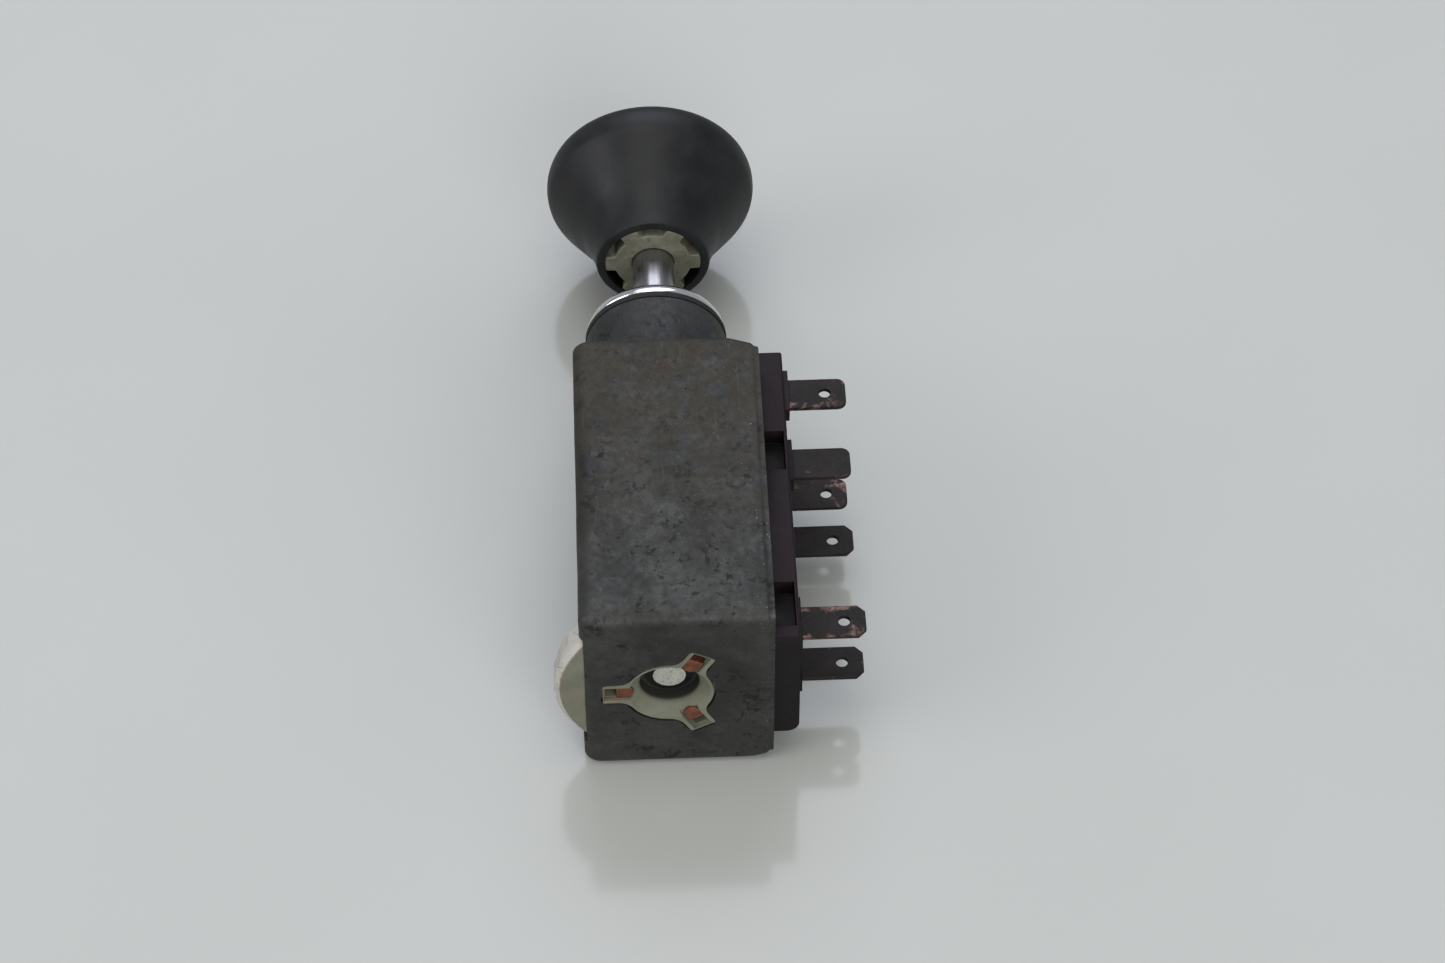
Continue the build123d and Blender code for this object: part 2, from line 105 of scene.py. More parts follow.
class Shader:
    """A node material under construction, with short calls for the nodes it uses."""

    def __init__(self, name):
        self.material = bpy.data.materials.new(name)
        self.material.use_nodes = True
        self.tree = self.material.node_tree
        self.surface = self.tree.nodes["Principled BSDF"]
        self.place = self.tree.nodes.new("ShaderNodeTexCoord").outputs["Object"]

    def node(self, kind, **settings):
        made = self.tree.nodes.new("ShaderNode" + kind)
        for key, value in settings.items():
            setattr(made, key, value)
        return made

    def feed(self, socket, value):
        """Puts a link or a plain value into an input socket."""
        if isinstance(value, bpy.types.NodeSocket):
            self.tree.links.new(value, socket)
        else:
            socket.default_value = value

    def stretched(self, scale):
        """Object coordinates in millimetres, times a scale along each axis."""
        made = self.node("Mapping")
        self.feed(made.inputs["Vector"], self.place)
        made.inputs["Scale"].default_value = [s / MM for s in scale]
        return made.outputs["Vector"]

    def noise(self, size, detail=4.0, rough=0.55, warp=0.0, stretch=(1, 1, 1), shift=0.0):
        """Noise whose features are about `size` millimetres across."""
        made = self.node("TexNoise", noise_dimensions="4D")
        self.feed(made.inputs["Vector"], self.stretched(stretch))
        made.inputs["W"].default_value = shift
        made.inputs["Scale"].default_value = 1.0 / size
        made.inputs["Detail"].default_value = detail
        made.inputs["Roughness"].default_value = rough
        made.inputs["Distortion"].default_value = warp
        return made.outputs["Fac"]

    def cells(self, size, shift=0.0):
        """Distance to scattered points about `size` millimetres apart."""
        made = self.node("TexVoronoi", voronoi_dimensions="4D")
        self.feed(made.inputs["Vector"], self.stretched((1, 1, 1)))
        made.inputs["W"].default_value = shift
        made.inputs["Scale"].default_value = 1.0 / size
        return made.outputs["Distance"]

    def span(self, value, start, end, low_out=0.0, high_out=1.0):
        """Maps start..end to low_out..high_out, smoothly and clamped."""
        made = self.node("MapRange", interpolation_type="SMOOTHSTEP")
        self.feed(made.inputs["Value"], value)
        limits = {"From Min": start, "From Max": end, "To Min": low_out, "To Max": high_out}
        for key, number in limits.items():
            made.inputs[key].default_value = number
        return made.outputs["Result"]

    def maths(self, operation, first, second=0.0):
        """One arithmetic step on links or plain numbers."""
        made = self.node("Math", operation=operation, use_clamp=False)
        self.feed(made.inputs[0], first)
        self.feed(made.inputs[1], second)
        return made.outputs[0]

    def times(self, first, second):
        return self.maths("MULTIPLY", first, second)

    def blend(self, amount, first, second):
        """Mixes two colours, each a link or a plain (red, green, blue)."""
        made = self.node("Mix", data_type="RGBA")
        self.feed(made.inputs["Factor"], amount)
        first_colour, second_colour, mixed = made.inputs[6], made.inputs[7], made.outputs[2]
        for socket, value in ((first_colour, first), (second_colour, second)):
            self.feed(socket, (*value, 1.0) if isinstance(value, tuple) else value)
        return mixed

    def axis(self, name):
        """One object coordinate in millimetres."""
        made = self.node("SeparateXYZ")
        self.feed(made.inputs[0], self.stretched((1, 1, 1)))
        return made.outputs[name]

    def bump(self, height, depth, normal=None):
        """Bump from a height of 0 to 1 that stands for `depth` millimetres."""
        made = self.node("Bump")
        made.inputs["Distance"].default_value = depth * MM
        made.inputs["Strength"].default_value = 1.0
        self.feed(made.inputs["Height"], height)
        if normal is not None:
            self.feed(made.inputs["Normal"], normal)
        return made.outputs["Normal"]

    def finish(self, colour, roughness, normal, metallic=0.0, specular=0.5):
        """Connects the surface's sockets and gives back the finished material."""
        sockets = self.surface.inputs
        self.feed(sockets["Base Color"], colour)
        self.feed(sockets["Roughness"], roughness)
        self.feed(sockets["Metallic"], metallic)
        self.feed(sockets["Normal"], normal)
        sockets["Specular IOR Level"].default_value = specular
        return self.material


def tinted(colour, factor):
    """A colour made lighter or darker by a factor, at most white."""
    return tuple(min(1.0, c * factor) for c in colour)


# ---- Materials ------------------------------------------------------------


def weathered_zinc(name, tone, rear_stain=0.15, stains=1.0):
    """Dull zinc plating: blotches, brown stains, dark pits, rust and bright specks.

    Stains grow from a share `rear_stain` at the can's rear to all of it at the front.
    """
    m = Shader(name)
    cloud = m.noise(9.0, detail=5, rough=0.6, warp=0.4)
    fine = m.noise(1.1, detail=6, rough=0.7, shift=3)
    grain = m.noise(0.22, detail=3, rough=0.6, shift=5)
    light, dark = tinted(tone, 1.35), tinted(tone, 0.66)
    colour = m.blend(m.span(cloud, 0.36, 0.66), dark, light)
    colour = m.blend(m.span(fine, 0.38, 0.72, 0.0, 0.5), colour, dark)
    # Brown staining, heavier towards the front.
    forward = m.span(m.axis("Y"), CAN_LOW.y + 4, CAN_HIGH.y, rear_stain, 1.0)
    stain = m.span(m.noise(5.5, detail=7, rough=0.68, warp=0.8, shift=9), 0.38, 0.52)
    stain = m.times(m.times(stain, forward), 0.88 * stains)
    colour = m.blend(stain, colour, (0.024, 0.019, 0.009))
    rust = m.span(m.noise(2.6, detail=7, rough=0.7, warp=0.6, shift=21), 0.575, 0.65)
    rust = m.times(rust, m.times(forward, 0.9 * stains))
    colour = m.blend(rust, colour, (0.034, 0.014, 0.007))
    # Dark blotches where the plating has gone.
    blotch = m.span(m.noise(2.0, detail=6, rough=0.66, warp=0.5, shift=27), 0.535, 0.60)
    blotch = m.times(blotch, m.span(m.noise(7.5, detail=2, shift=29), 0.46, 0.58, 0.05, 0.80))
    colour = m.blend(blotch, colour, (0.009, 0.008, 0.007))
    # Pits, near black, in loose groups.
    group = m.span(m.noise(6.5, detail=2, shift=33), 0.48, 0.62)
    pit = m.times(m.span(m.cells(1.25, shift=2), 0.10, 0.26, 1.0, 0.0), group)
    pit = m.times(pit, 0.85)
    colour = m.blend(pit, colour, (0.010, 0.009, 0.008))
    # Bright crystals where the plating still shows, most of them near the open side.
    group = m.span(m.noise(4.2, detail=3, shift=41), 0.50, 0.62)
    speck = m.times(m.span(m.cells(0.55, shift=8), 0.10, 0.22, 1.0, 0.0), group)
    near_rim = m.span(m.axis("X"), CAN_HIGH.x - 9, CAN_HIGH.x - 3, 0.35, 0.9)
    colour = m.blend(m.times(speck, near_rim), colour, (0.34, 0.34, 0.32))
    # Long faint scratches from handling.
    scratch = m.noise(0.5, detail=2, rough=0.4, stretch=(1.0, 0.05, 0.6), shift=14)
    colour = m.blend(m.span(scratch, 0.66, 0.72, 0.0, 0.35), colour, light)
    rough = m.maths("ADD", m.span(fine, 0.3, 0.7, 0.46, 0.66), m.times(stain, 0.18))
    height = m.maths("SUBTRACT", m.times(fine, 0.5), m.times(pit, 0.8))
    height = m.maths("ADD", height, m.times(rust, 0.35))
    normal = m.bump(height, 0.10, m.bump(grain, 0.02))
    metal = m.maths("SUBTRACT", 0.75, m.times(m.maths("MAXIMUM", stain, rust), 0.65))
    return m.finish(colour, rough, normal, metallic=metal)


def bright_chrome():
    """Plated nut: mirror bright, with fine polishing marks and smears of grime."""
    m = Shader("bright_chrome")
    smear = m.noise(3.0, detail=6, rough=0.6, shift=4)
    line = m.noise(0.08, detail=2, stretch=(1, 5, 1), shift=6)
    colour = m.blend(m.span(smear, 0.52, 0.75, 0.0, 0.5), (0.78, 0.79, 0.80), (0.36, 0.34, 0.30))
    rough = m.span(smear, 0.35, 0.75, 0.06, 0.22)
    return m.finish(colour, rough, m.bump(line, 0.002), metallic=1.0)


def polished_steel():
    """Ground and polished shaft, worn in fine lines along its stroke."""
    m = Shader("polished_steel")
    tone = (0.36, 0.355, 0.36)
    streak = m.noise(0.35, detail=5, rough=0.6, stretch=(1, 0.03, 1), shift=2)
    smear = m.noise(4.0, detail=5, shift=12)
    colour = m.blend(m.span(streak, 0.40, 0.68, 0.0, 0.6), tone, tinted(tone, 0.62))
    colour = m.blend(m.span(smear, 0.58, 0.75, 0.0, 0.4), colour, (0.20, 0.17, 0.13))
    rough = m.span(smear, 0.3, 0.7, 0.26, 0.38)
    return m.finish(colour, rough, m.bump(streak, 0.006), metallic=1.0)


def dark_bakelite():
    """Maroon phenolic moulding: faint mottling, grime and dust, with painted shade in its notches."""
    m = Shader("dark_bakelite")
    cloud = m.noise(2.4, detail=6, rough=0.62, warp=0.5)
    flake = m.noise(0.45, detail=5, rough=0.7, shift=7)
    colour = m.blend(m.span(cloud, 0.35, 0.7), (0.0075, 0.0035, 0.0055), (0.015, 0.0075, 0.0105))
    colour = m.blend(m.span(flake, 0.58, 0.75, 0.0, 0.6), colour, (0.024, 0.016, 0.017))
    grime = m.span(m.noise(7.0, detail=5, shift=17), 0.52, 0.7, 0.0, 0.6)
    colour = m.blend(grime, colour, (0.005, 0.004, 0.004))
    dust = m.span(m.noise(1.6, detail=7, rough=0.75, shift=27), 0.56, 0.8, 0.0, 0.35)
    colour = m.blend(dust, colour, (0.036, 0.030, 0.029))
    # Painted shade: below the upper face, and outside the can, the notches are darkened to near black.
    painted_notch_shade = m.span(m.axis("Z"), BASE_TOP - 2.4, BASE_TOP - 0.5, 0.85, 0.0)
    proud = m.span(m.axis("X"), CAN_HIGH.x + 0.2, CAN_HIGH.x + 0.4)
    colour = m.blend(m.times(painted_notch_shade, proud), colour, (0.004, 0.003, 0.003))
    rough = m.span(cloud, 0.3, 0.7, 0.50, 0.64)
    normal = m.bump(flake, 0.012, m.bump(cloud, 0.03))
    return m.finish(colour, rough, normal, specular=0.18)


def tarnished_copper(number, bare, lean):
    """Blade metal: near-black oxide, rubbed through to pink copper along its edges and tip.

    `bare` is how much has rubbed off, 0 to 1, and `lean` how many millimetres the wear sits to one side.
    """
    m = Shader(f"blade_{number}_copper")
    shift = number * 3.7
    tip = high(f"terminal_{number}").x
    middle = CAN_HIGH.y - BLADES_BEHIND[number] + lean
    patch = m.noise(2.6, detail=7, rough=0.62, warp=0.7, shift=shift)
    fine = m.noise(0.5, detail=5, rough=0.7, shift=shift + 5)
    brushed = m.noise(0.16, detail=3, stretch=(0.08, 1, 1), shift=shift + 9)
    colour = m.blend(m.span(fine, 0.3, 0.7), (0.0050, 0.0042, 0.0035), (0.0135, 0.0100, 0.0085))
    purple = m.span(m.noise(3.5, detail=4, shift=shift + 17), 0.48, 0.62, 0.0, 0.6)
    colour = m.blend(purple, colour, (0.020, 0.011, 0.012))
    aside = m.maths("ABSOLUTE", m.maths("SUBTRACT", m.axis("Y"), middle))
    edge = m.span(aside, BLADE_HALF - 1.7, BLADE_HALF)
    end = m.span(m.axis("X"), tip - 7.0, tip - 1.0, 0.0, 0.75)
    rubbed = m.maths("ADD", patch, m.times(m.maths("MAXIMUM", edge, end), 0.20))
    worn = m.span(rubbed, 0.82 - 0.28 * bare, 0.92 - 0.20 * bare)
    copper = m.blend(m.span(fine, 0.35, 0.65), (0.075, 0.038, 0.032), (0.21, 0.125, 0.105))
    colour = m.blend(m.times(worn, 0.8), colour, copper)
    green = m.span(m.noise(1.3, detail=6, rough=0.7, shift=shift + 14), 0.68, 0.78, 0.0, 0.5)
    colour = m.blend(green, colour, (0.075, 0.085, 0.050))
    metal = m.span(worn, 0.0, 1.0, 0.25, 0.7)
    rough = m.span(worn, 0.0, 1.0, 0.60, 0.42)
    normal = m.bump(fine, 0.02, m.bump(brushed, 0.004))
    return m.finish(colour, rough, normal, metallic=metal, specular=0.3)


def steatite(name, tone, dirt, flecks=0.0, rim=None, shaded_below=None):
    """Unglazed ceramic: chalky, speckled, with dirt rubbed into it.

    Beyond the radius `rim` it is painted white, partly as scraped wear and partly as a painted highlight where
    the rim catches light.
    Near the axis, past the depth `shaded_below` along Y, it is painted near black as shade in its hollows.
    """
    m = Shader(name)
    cloud = m.noise(5.0, detail=5, rough=0.6, warp=0.3)
    speck = m.noise(0.55, detail=6, rough=0.75, shift=6)
    colour = m.blend(m.span(cloud, 0.35, 0.65), tone, tinted(tone, 1.25))
    x, z = m.axis("X"), m.axis("Z")
    reach = m.maths("SQRT", m.maths("ADD", m.times(x, x), m.times(z, z)))
    # Painted white beyond `rim`: partly scraped wear, partly a painted highlight where the rim catches light.
    if rim is not None:
        colour = m.blend(m.span(reach, rim - 0.3, rim), colour, (0.42, 0.40, 0.36))
    soil = m.span(m.noise(3.2, detail=7, rough=0.7, warp=0.7, shift=13), 0.50, 0.70, 0.0, dirt)
    colour = m.blend(soil, colour, (0.17, 0.135, 0.085))
    chip = m.span(m.noise(1.2, detail=6, rough=0.7, shift=23), 0.62, 0.72, 0.0, dirt)
    colour = m.blend(chip, colour, (0.085, 0.052, 0.028))
    dot = m.span(m.cells(0.7, shift=4), 0.05, 0.16, dirt, 0.0)
    dot = m.times(dot, m.span(m.noise(2.0, shift=31), 0.45, 0.6))
    colour = m.blend(dot, colour, (0.06, 0.05, 0.04))
    colour = m.blend(m.span(speck, 0.52, 0.62, 0.0, flecks), colour, (0.07, 0.065, 0.055))
    # Painted shade: deep hollows near the axis are darkened to near black.
    if shaded_below is not None:
        painted_depth_shade = m.span(m.axis("Y"), shaded_below, shaded_below + 1.2, 0.0, 0.92)
        painted_depth_shade = m.times(painted_depth_shade, m.span(reach, 11.5, 12.5, 1.0, 0.0))
        colour = m.blend(painted_depth_shade, colour, (0.010, 0.009, 0.008))
    normal = m.bump(speck, 0.03, m.bump(cloud, 0.05))
    return m.finish(colour, m.span(speck, 0.3, 0.7, 0.62, 0.82), normal, specular=0.35)


def dull_copper():
    """Copper lugs, brown-red with dark solder and flux stains."""
    m = Shader("dull_copper")
    cloud = m.noise(1.4, detail=6, rough=0.65, warp=0.5)
    colour = m.blend(m.span(cloud, 0.35, 0.68), (0.120, 0.036, 0.020), (0.215, 0.075, 0.042))
    stain = m.span(m.noise(0.8, detail=5, shift=9), 0.58, 0.72, 0.0, 0.8)
    colour = m.blend(stain, colour, (0.045, 0.028, 0.020))
    return m.finish(colour, m.span(cloud, 0.3, 0.7, 0.42, 0.60), m.bump(cloud, 0.03), metallic=0.55)


def black_moulding():
    """Knob: satin black phenolic with dust and fine hairs on it."""
    m = Shader("black_moulding")
    cloud = m.noise(6.0, detail=5, rough=0.6, warp=0.4)
    dust = m.noise(0.9, detail=7, rough=0.78, shift=5)
    colour = m.blend(m.span(cloud, 0.35, 0.7), (0.0065, 0.0065, 0.007), (0.012, 0.012, 0.0125))
    colour = m.blend(m.span(dust, 0.60, 0.80, 0.0, 0.35), colour, (0.032, 0.031, 0.029))
    hair = m.noise(0.30, detail=2, rough=0.4, stretch=(1, 0.15, 0.3), shift=19)
    colour = m.blend(m.span(hair, 0.70, 0.76, 0.0, 0.3), colour, (0.040, 0.040, 0.040))
    rough = m.maths("ADD", m.span(cloud, 0.3, 0.7, 0.40, 0.52), m.span(dust, 0.5, 0.8, 0.0, 0.15))
    normal = m.bump(dust, 0.006, m.bump(cloud, 0.02))
    return m.finish(colour, rough, normal, specular=0.28)


def olive_moulding():
    """Core of the knob: olive-grey plastic, dirty in its hollows."""
    m = Shader("olive_moulding")
    cloud = m.noise(3.0, detail=6, rough=0.65)
    colour = m.blend(m.span(cloud, 0.35, 0.7), (0.115, 0.112, 0.075), (0.185, 0.180, 0.135))
    grime = m.span(m.noise(1.2, detail=6, rough=0.7, shift=11), 0.52, 0.70, 0.0, 0.7)
    colour = m.blend(grime, colour, (0.050, 0.045, 0.030))
    return m.finish(colour, m.span(cloud, 0.3, 0.7, 0.50, 0.68), m.bump(cloud, 0.04))


def black_fibre():
    """Pressed fibre washer, matt, with loose fibres."""
    m = Shader("black_fibre")
    strand = m.noise(0.4, detail=6, rough=0.75, stretch=(1, 4, 1))
    colour = m.blend(m.span(strand, 0.4, 0.75), (0.012, 0.012, 0.013), (0.045, 0.042, 0.038))
    return m.finish(colour, 0.8, m.bump(strand, 0.03), specular=0.3)


def inner_metal(name, tone, rough=0.35):
    """Clean metal of the sealed inner pieces, with rolling or drawing marks and slight tarnish."""
    m = Shader(name)
    line = m.noise(0.25, detail=4, stretch=(1, 0.1, 1))
    cloud = m.noise(2.5, detail=5, shift=8)
    colour = m.blend(m.span(cloud, 0.42, 0.7, 0.0, 0.7), tone, tinted(tone, 0.6))
    roughness = m.span(line, 0.3, 0.7, rough, rough + 0.14)
    return m.finish(colour, roughness, m.bump(line, 0.006), metallic=1.0)


def brown_moulding():
    """Carriage block: brown laminated moulding with grease marks."""
    m = Shader("brown_moulding")
    layer = m.noise(1.5, detail=5, stretch=(1, 1, 0.3))
    colour = m.blend(m.span(layer, 0.35, 0.7), (0.060, 0.036, 0.020), (0.100, 0.062, 0.034))
    grease = m.span(m.noise(4.0, detail=5, shift=15), 0.5, 0.7)
    colour = m.blend(m.times(grease, 0.6), colour, (0.030, 0.022, 0.012))
    return m.finish(colour, m.span(grease, 0.0, 1.0, 0.55, 0.30), m.bump(layer, 0.03))


def wound_wire():
    """Resistance winding: fine turns of oxidised wire side by side."""
    m = Shader("wound_wire")
    turn = m.node("TexWave", wave_type="RINGS", rings_direction="Y")
    m.feed(turn.inputs["Vector"], m.stretched((1, 1, 1)))
    turn.inputs["Scale"].default_value = 0.9
    cloud = m.noise(2.0, detail=5, shift=3)
    colour = m.blend(m.span(cloud, 0.35, 0.7), (0.20, 0.19, 0.18), (0.36, 0.34, 0.31))
    return m.finish(colour, 0.42, m.bump(turn.outputs["Fac"], 0.08), metallic=1.0)


def pale_table():
    """Glossy white table top, faintly uneven."""
    m = Shader("pale_table")
    cloud = m.noise(120.0, detail=3, rough=0.5)
    fine = m.noise(1.4, detail=3, rough=0.5, shift=7)
    colour = m.blend(m.span(cloud, 0.3, 0.7), (0.372, 0.375, 0.350), (0.392, 0.395, 0.372))
    rough = m.span(cloud, 0.3, 0.7, 0.10, 0.13)
    return m.finish(colour, rough, m.bump(fine, 0.002), specular=0.38)


# ---- Mesh helpers ---------------------------------------------------------


def linked(name, data):
    """A new object in the scene."""
    made = bpy.data.objects.new(name, data)
    bpy.context.scene.collection.objects.link(made)
    return made


def closed_up(bm, name):
    """Turns a bmesh's faces outwards and makes it a mesh."""
    bmesh.ops.recalc_face_normals(bm, faces=bm.faces)
    mesh = bpy.data.meshes.new(name)
    bm.to_mesh(mesh)
    bm.free()
    return mesh


def add_piece(name, mesh, material, node, crease_degrees=35):
    """Links a mesh as a piece that stands for one CAD node and rides on its body."""
    piece = linked(name, mesh)
    mesh.materials.clear()
    mesh.materials.append(material)
    mesh.shade_smooth()
    mesh.set_sharp_from_angle(angle=math.radians(crease_degrees))
    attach(piece, frame["nodes"][node]["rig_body"])
    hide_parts(node)
    return piece


def circle(radius, segments):
    """Points round the spindle axis, as (x, z)."""
    angles = (2 * math.pi * i / segments for i in range(segments))
    return [(radius * math.cos(a), radius * math.sin(a)) for a in angles]


def turned(name, profile, material, node):
    """A piece turned about the spindle axis: a closed profile of (y, radius) points in millimetres."""
    bm = bmesh.new()
    rows = []
    for y, radius in profile:
        ring = circle(radius, TURNED_SEGMENTS)
        rows.append([bm.verts.new(Vector((x, y, z)) * MM) for x, z in ring])
    for j, row in enumerate(rows):
        after = rows[(j + 1) % len(rows)]
        for i in range(TURNED_SEGMENTS):
            k = (i + 1) % TURNED_SEGMENTS
            bm.faces.new((row[i], row[k], after[k], after[i]))
    bmesh.ops.remove_doubles(bm, verts=bm.verts, dist=1e-7)
    bmesh.ops.dissolve_degenerate(bm, edges=bm.edges, dist=1e-7)
    return add_piece(name, closed_up(bm, name), material, node)


def eased(piece, width, above_degrees=35):
    """Rounds a piece's sharp edges by `width` millimetres."""
    bevel = piece.modifiers.new("eased_edges", "BEVEL")
    bevel.width = width * MM
    bevel.segments = 2
    bevel.limit_method = "ANGLE"
    bevel.angle_limit = math.radians(above_degrees)
    bevel.harden_normals = True
    bevel.miter_outer = "MITER_ARC"
    return piece


def softened(node, width, material):
    """A CAD node's own shape with its sharp edges rounded by `width` millimetres."""
    bm = bmesh.new()
    bm.from_mesh(frame["nodes"][node].data)
    bmesh.ops.remove_doubles(bm, verts=bm.verts, dist=MERGE)
    bmesh.ops.dissolve_limit(bm, angle_limit=math.radians(0.6), verts=bm.verts, edges=bm.edges)
    mesh = closed_up(bm, node + "_mesh")
    piece = add_piece(node + "_detailed", mesh, material, node)
    return eased(piece, width)


def paint(node, material):
    """Gives a carried CAD node its material."""
    for slot in frame["nodes"][node].material_slots:
        slot.material = material


# ---- Knob -----------------------------------------------------------------

KNOB_NECK = 10.2           # radius of the knob's rear end
KNOB_PLAY = 0.05           # between the knob and its core
CURVE_STEPS = 8

# Outline from the rear end to the rim: distance from the rear, and radius over the neck's.
KNOB_FLARE = ((0.45, 0.0), (3.4, 0.7), (7.4, 2.4), (11.4, 5.0), (14.4, 7.0), (15.8, 7.9))
# Round the rim: distance from the rear, and how far inside the largest radius.
KNOB_RIM = ((16.9, 0.22), (18.6, 0.0), (20.4, 0.2), (21.9, 1.0), (23.3, 3.0))
# Domed face: distance from the front, and share of the largest radius.
KNOB_FACE = ((0.95, 0.6), (0.2, 0.28), (0.0, 0.0))


def smooth_curve(points):
    """A smooth line through the given points (Catmull-Rom)."""
    ends = [points[0], *points, points[-1]]
    made = []
    for i in range(1, len(ends) - 2):
        p0, p1, p2, p3 = (Vector(p) for p in ends[i - 1 : i + 3])
        slope = p2 - p0
        bend = 2 * p0 - 5 * p1 + 4 * p2 - p3
        twist = 3 * p1 - p0 - 3 * p2 + p3
        for s in range(CURVE_STEPS):
            t = s / CURVE_STEPS
            made.append(0.5 * (2 * p1 + slope * t + bend * t ** 2 + twist * t ** 3))
    made.append(Vector(points[-1]))
    return [tuple(p) for p in made]


def build_knob(material):
    """Mushroom knob: neck, flared underside, rounded rim and domed face."""
    rear, front = low("knob").y, high("knob").y
    radius = high("knob").x
    bore = high("knob_insert").x + KNOB_PLAY
    bore_end = high("knob_insert").y + KNOB_PLAY
    outside = smooth_curve([
        *((rear + y, KNOB_NECK + r) for y, r in KNOB_FLARE),
        *((rear + y, radius - r) for y, r in KNOB_RIM),
        *((front - y, radius * share) for y, share in KNOB_FACE),
    ])
    rear_end = [(rear, bore), (rear, KNOB_NECK - 0.5), (rear + 0.13, KNOB_NECK - 0.14)]
    profile = [*rear_end, *outside, (bore_end, 0.0), (bore_end, bore)]
    return turned("knob_moulding", profile, material, "knob")


# ---- Can ------------------------------------------------------------------

CAN_BENDS = Vector((3.0, 2.0, 2.2))    # rounding of its bends along X, Y and Z
SHEET = 1.0
GRID_STEP = 1.3
EASED = 0.14                           # rounding of its cut edges
DENT_DEPTH = 0.16

# The front upper corner of the open rim, pressed in and down.
CORNER_REACH = 5.5
CORNER_PULL = 1.5
CORNER_DROP = 0.5

# The rear lower corner of the open rim, lifted off the table.
FOOT_REACH = 3.6
FOOT_RISE = 1.1

# The open rim's rolled lip, and its grid lines, as distances from the rim.
LIP_WIDTH = 1.25
LIP_DROP = 0.38
LIP_LINES = (1.6, 1.25, 0.95, 0.65, 0.3, 0)

# The three-armed opening in the rear wall.
OPENING_RADIUS = 7.5
ARM_LENGTH = 11.2
ARM_HALF = 2.55
ARM_ANGLES = (60, 180, 300)
OPENING_STEPS = 240
HUB_BLEND = 12                         # higher is a sharper corner between disc and arm
ARM_BLEND = 9                          # higher is a squarer arm

NECK_HOLE = 8.05                       # radius of the hole in the front wall
SLOT_HALF = 13.7                       # half the height of the slot for the ceramic disc


def ease_in(value, start, end):
    """0 before start, 1 after end, and smooth between them."""
    t = min(1.0, max(0.0, (value - start) / (end - start)))
    return t * t * (3 - 2 * t)


def grid_lines(first, last, first_bend, last_bend):
    """Places of grid lines from first to last, close together over a bend of the given radius."""
    turns = [math.tan(math.radians(45 * (1 - k / 5))) for k in range(6)]
    start = [first + first_bend * (1 - t) for t in turns] if first_bend else [first]
    end = [last - last_bend * (1 - t) for t in reversed(turns)] if last_bend else [last]
    count = max(1, round((end[0] - start[-1]) / GRID_STEP))
    between = [start[-1] + (end[0] - start[-1]) * k / count for k in range(1, count)]
    return start + between + end


def rounded_can(point):
    """Moves a point of the can's plain box on to its rounded bends."""
    bends = CAN_BENDS
    core = Vector((
        max(point.x, CAN_LOW.x + bends.x),
        min(max(point.y, CAN_LOW.y + bends.y), CAN_HIGH.y - bends.y),
        min(max(point.z, CAN_LOW.z + bends.z), CAN_HIGH.z - bends.z),
    ))
    out = Vector((p - c) / b for p, c, b in zip(point, core, bends)).normalized()
    return core + out * bends, out


def worn_can(point):
    """The can's surface with its pulled-in corners, rolled lip and shallow dents."""
    place, out = rounded_can(point)
    dent = noise.noise(place / 13.0) + 0.45 * noise.noise(place / 5.0 + Vector((7, 3, 1)))
    place -= out * DENT_DEPTH * (0.5 + 0.5 * dent) * (0.4 if out.z < -0.5 else 1.0)
    # The front upper corner of the rim is pressed in and down.
    along = max(0.0, (place.x - (CAN_HIGH.x - CORNER_REACH)) / CORNER_REACH) ** 1.2
    near = ease_in(place.y, CAN_HIGH.y - 7, CAN_HIGH.y - 1.5) * ease_in(place.z, 4, 15)
    place.y -= CORNER_PULL * along * near
    place.z -= CORNER_DROP * along * near
    # The rear lower corner is lifted off the table.
    foot = max(0.0, (place.x - (CAN_HIGH.x - FOOT_REACH)) / FOOT_REACH)
    foot *= ease_in(-place.y, -CAN_LOW.y - 5, -CAN_LOW.y - 2)
    foot *= ease_in(-place.z, -CAN_LOW.z - 4, -CAN_LOW.z - 1)
    place.z += FOOT_RISE * foot
    # The rim's edge is rolled inwards.
    lip = ease_in(place.x, CAN_HIGH.x - LIP_WIDTH, CAN_HIGH.x - 0.5 * LIP_WIDTH)
    wave = 0.75 + 0.5 * noise.noise(place / 6.0)
    return place - out * LIP_DROP * wave * lip


def can_shell():
    """The can's outer surface, five sided, as a fine grid."""
    xs = grid_lines(CAN_LOW.x, CAN_HIGH.x - 2, CAN_BENDS.x, 0) + [CAN_HIGH.x - v for v in LIP_LINES]
    ys = grid_lines(CAN_LOW.y, CAN_HIGH.y, CAN_BENDS.y, CAN_BENDS.y)
    zs = grid_lines(CAN_LOW.z, CAN_HIGH.z, CAN_BENDS.z, CAN_BENDS.z)
    bm = bmesh.new()

    def sheet(firsts, seconds, place):
        rows = [[bm.verts.new(worn_can(place(a, b)) * MM) for b in seconds] for a in firsts]
        for i in range(len(firsts) - 1):
            for j in range(len(seconds) - 1):
                bm.faces.new((rows[i][j], rows[i + 1][j], rows[i + 1][j + 1], rows[i][j + 1]))

    for z in (CAN_LOW.z, CAN_HIGH.z):
        sheet(xs, ys, lambda x, y: Vector((x, y, z)))
    for y in (CAN_LOW.y, CAN_HIGH.y):
        sheet(xs, zs, lambda x, w: Vector((x, y, w)))
    sheet(ys, zs, lambda y, w: Vector((CAN_LOW.x, y, w)))
    bmesh.ops.remove_doubles(bm, verts=bm.verts, dist=MERGE)
    # The shell is open, so its faces may all have come out turned inwards.
    bmesh.ops.recalc_face_normals(bm, faces=bm.faces)
    top = (CAN_HIGH.z - 1) * MM
    if sum(f.normal.z for f in bm.faces if f.calc_center_median().z > top) < 0:
        bmesh.ops.reverse_faces(bm, faces=bm.faces)
    mesh = bpy.data.meshes.new("can_shell")
    bm.to_mesh(mesh)
    bm.free()
    return mesh


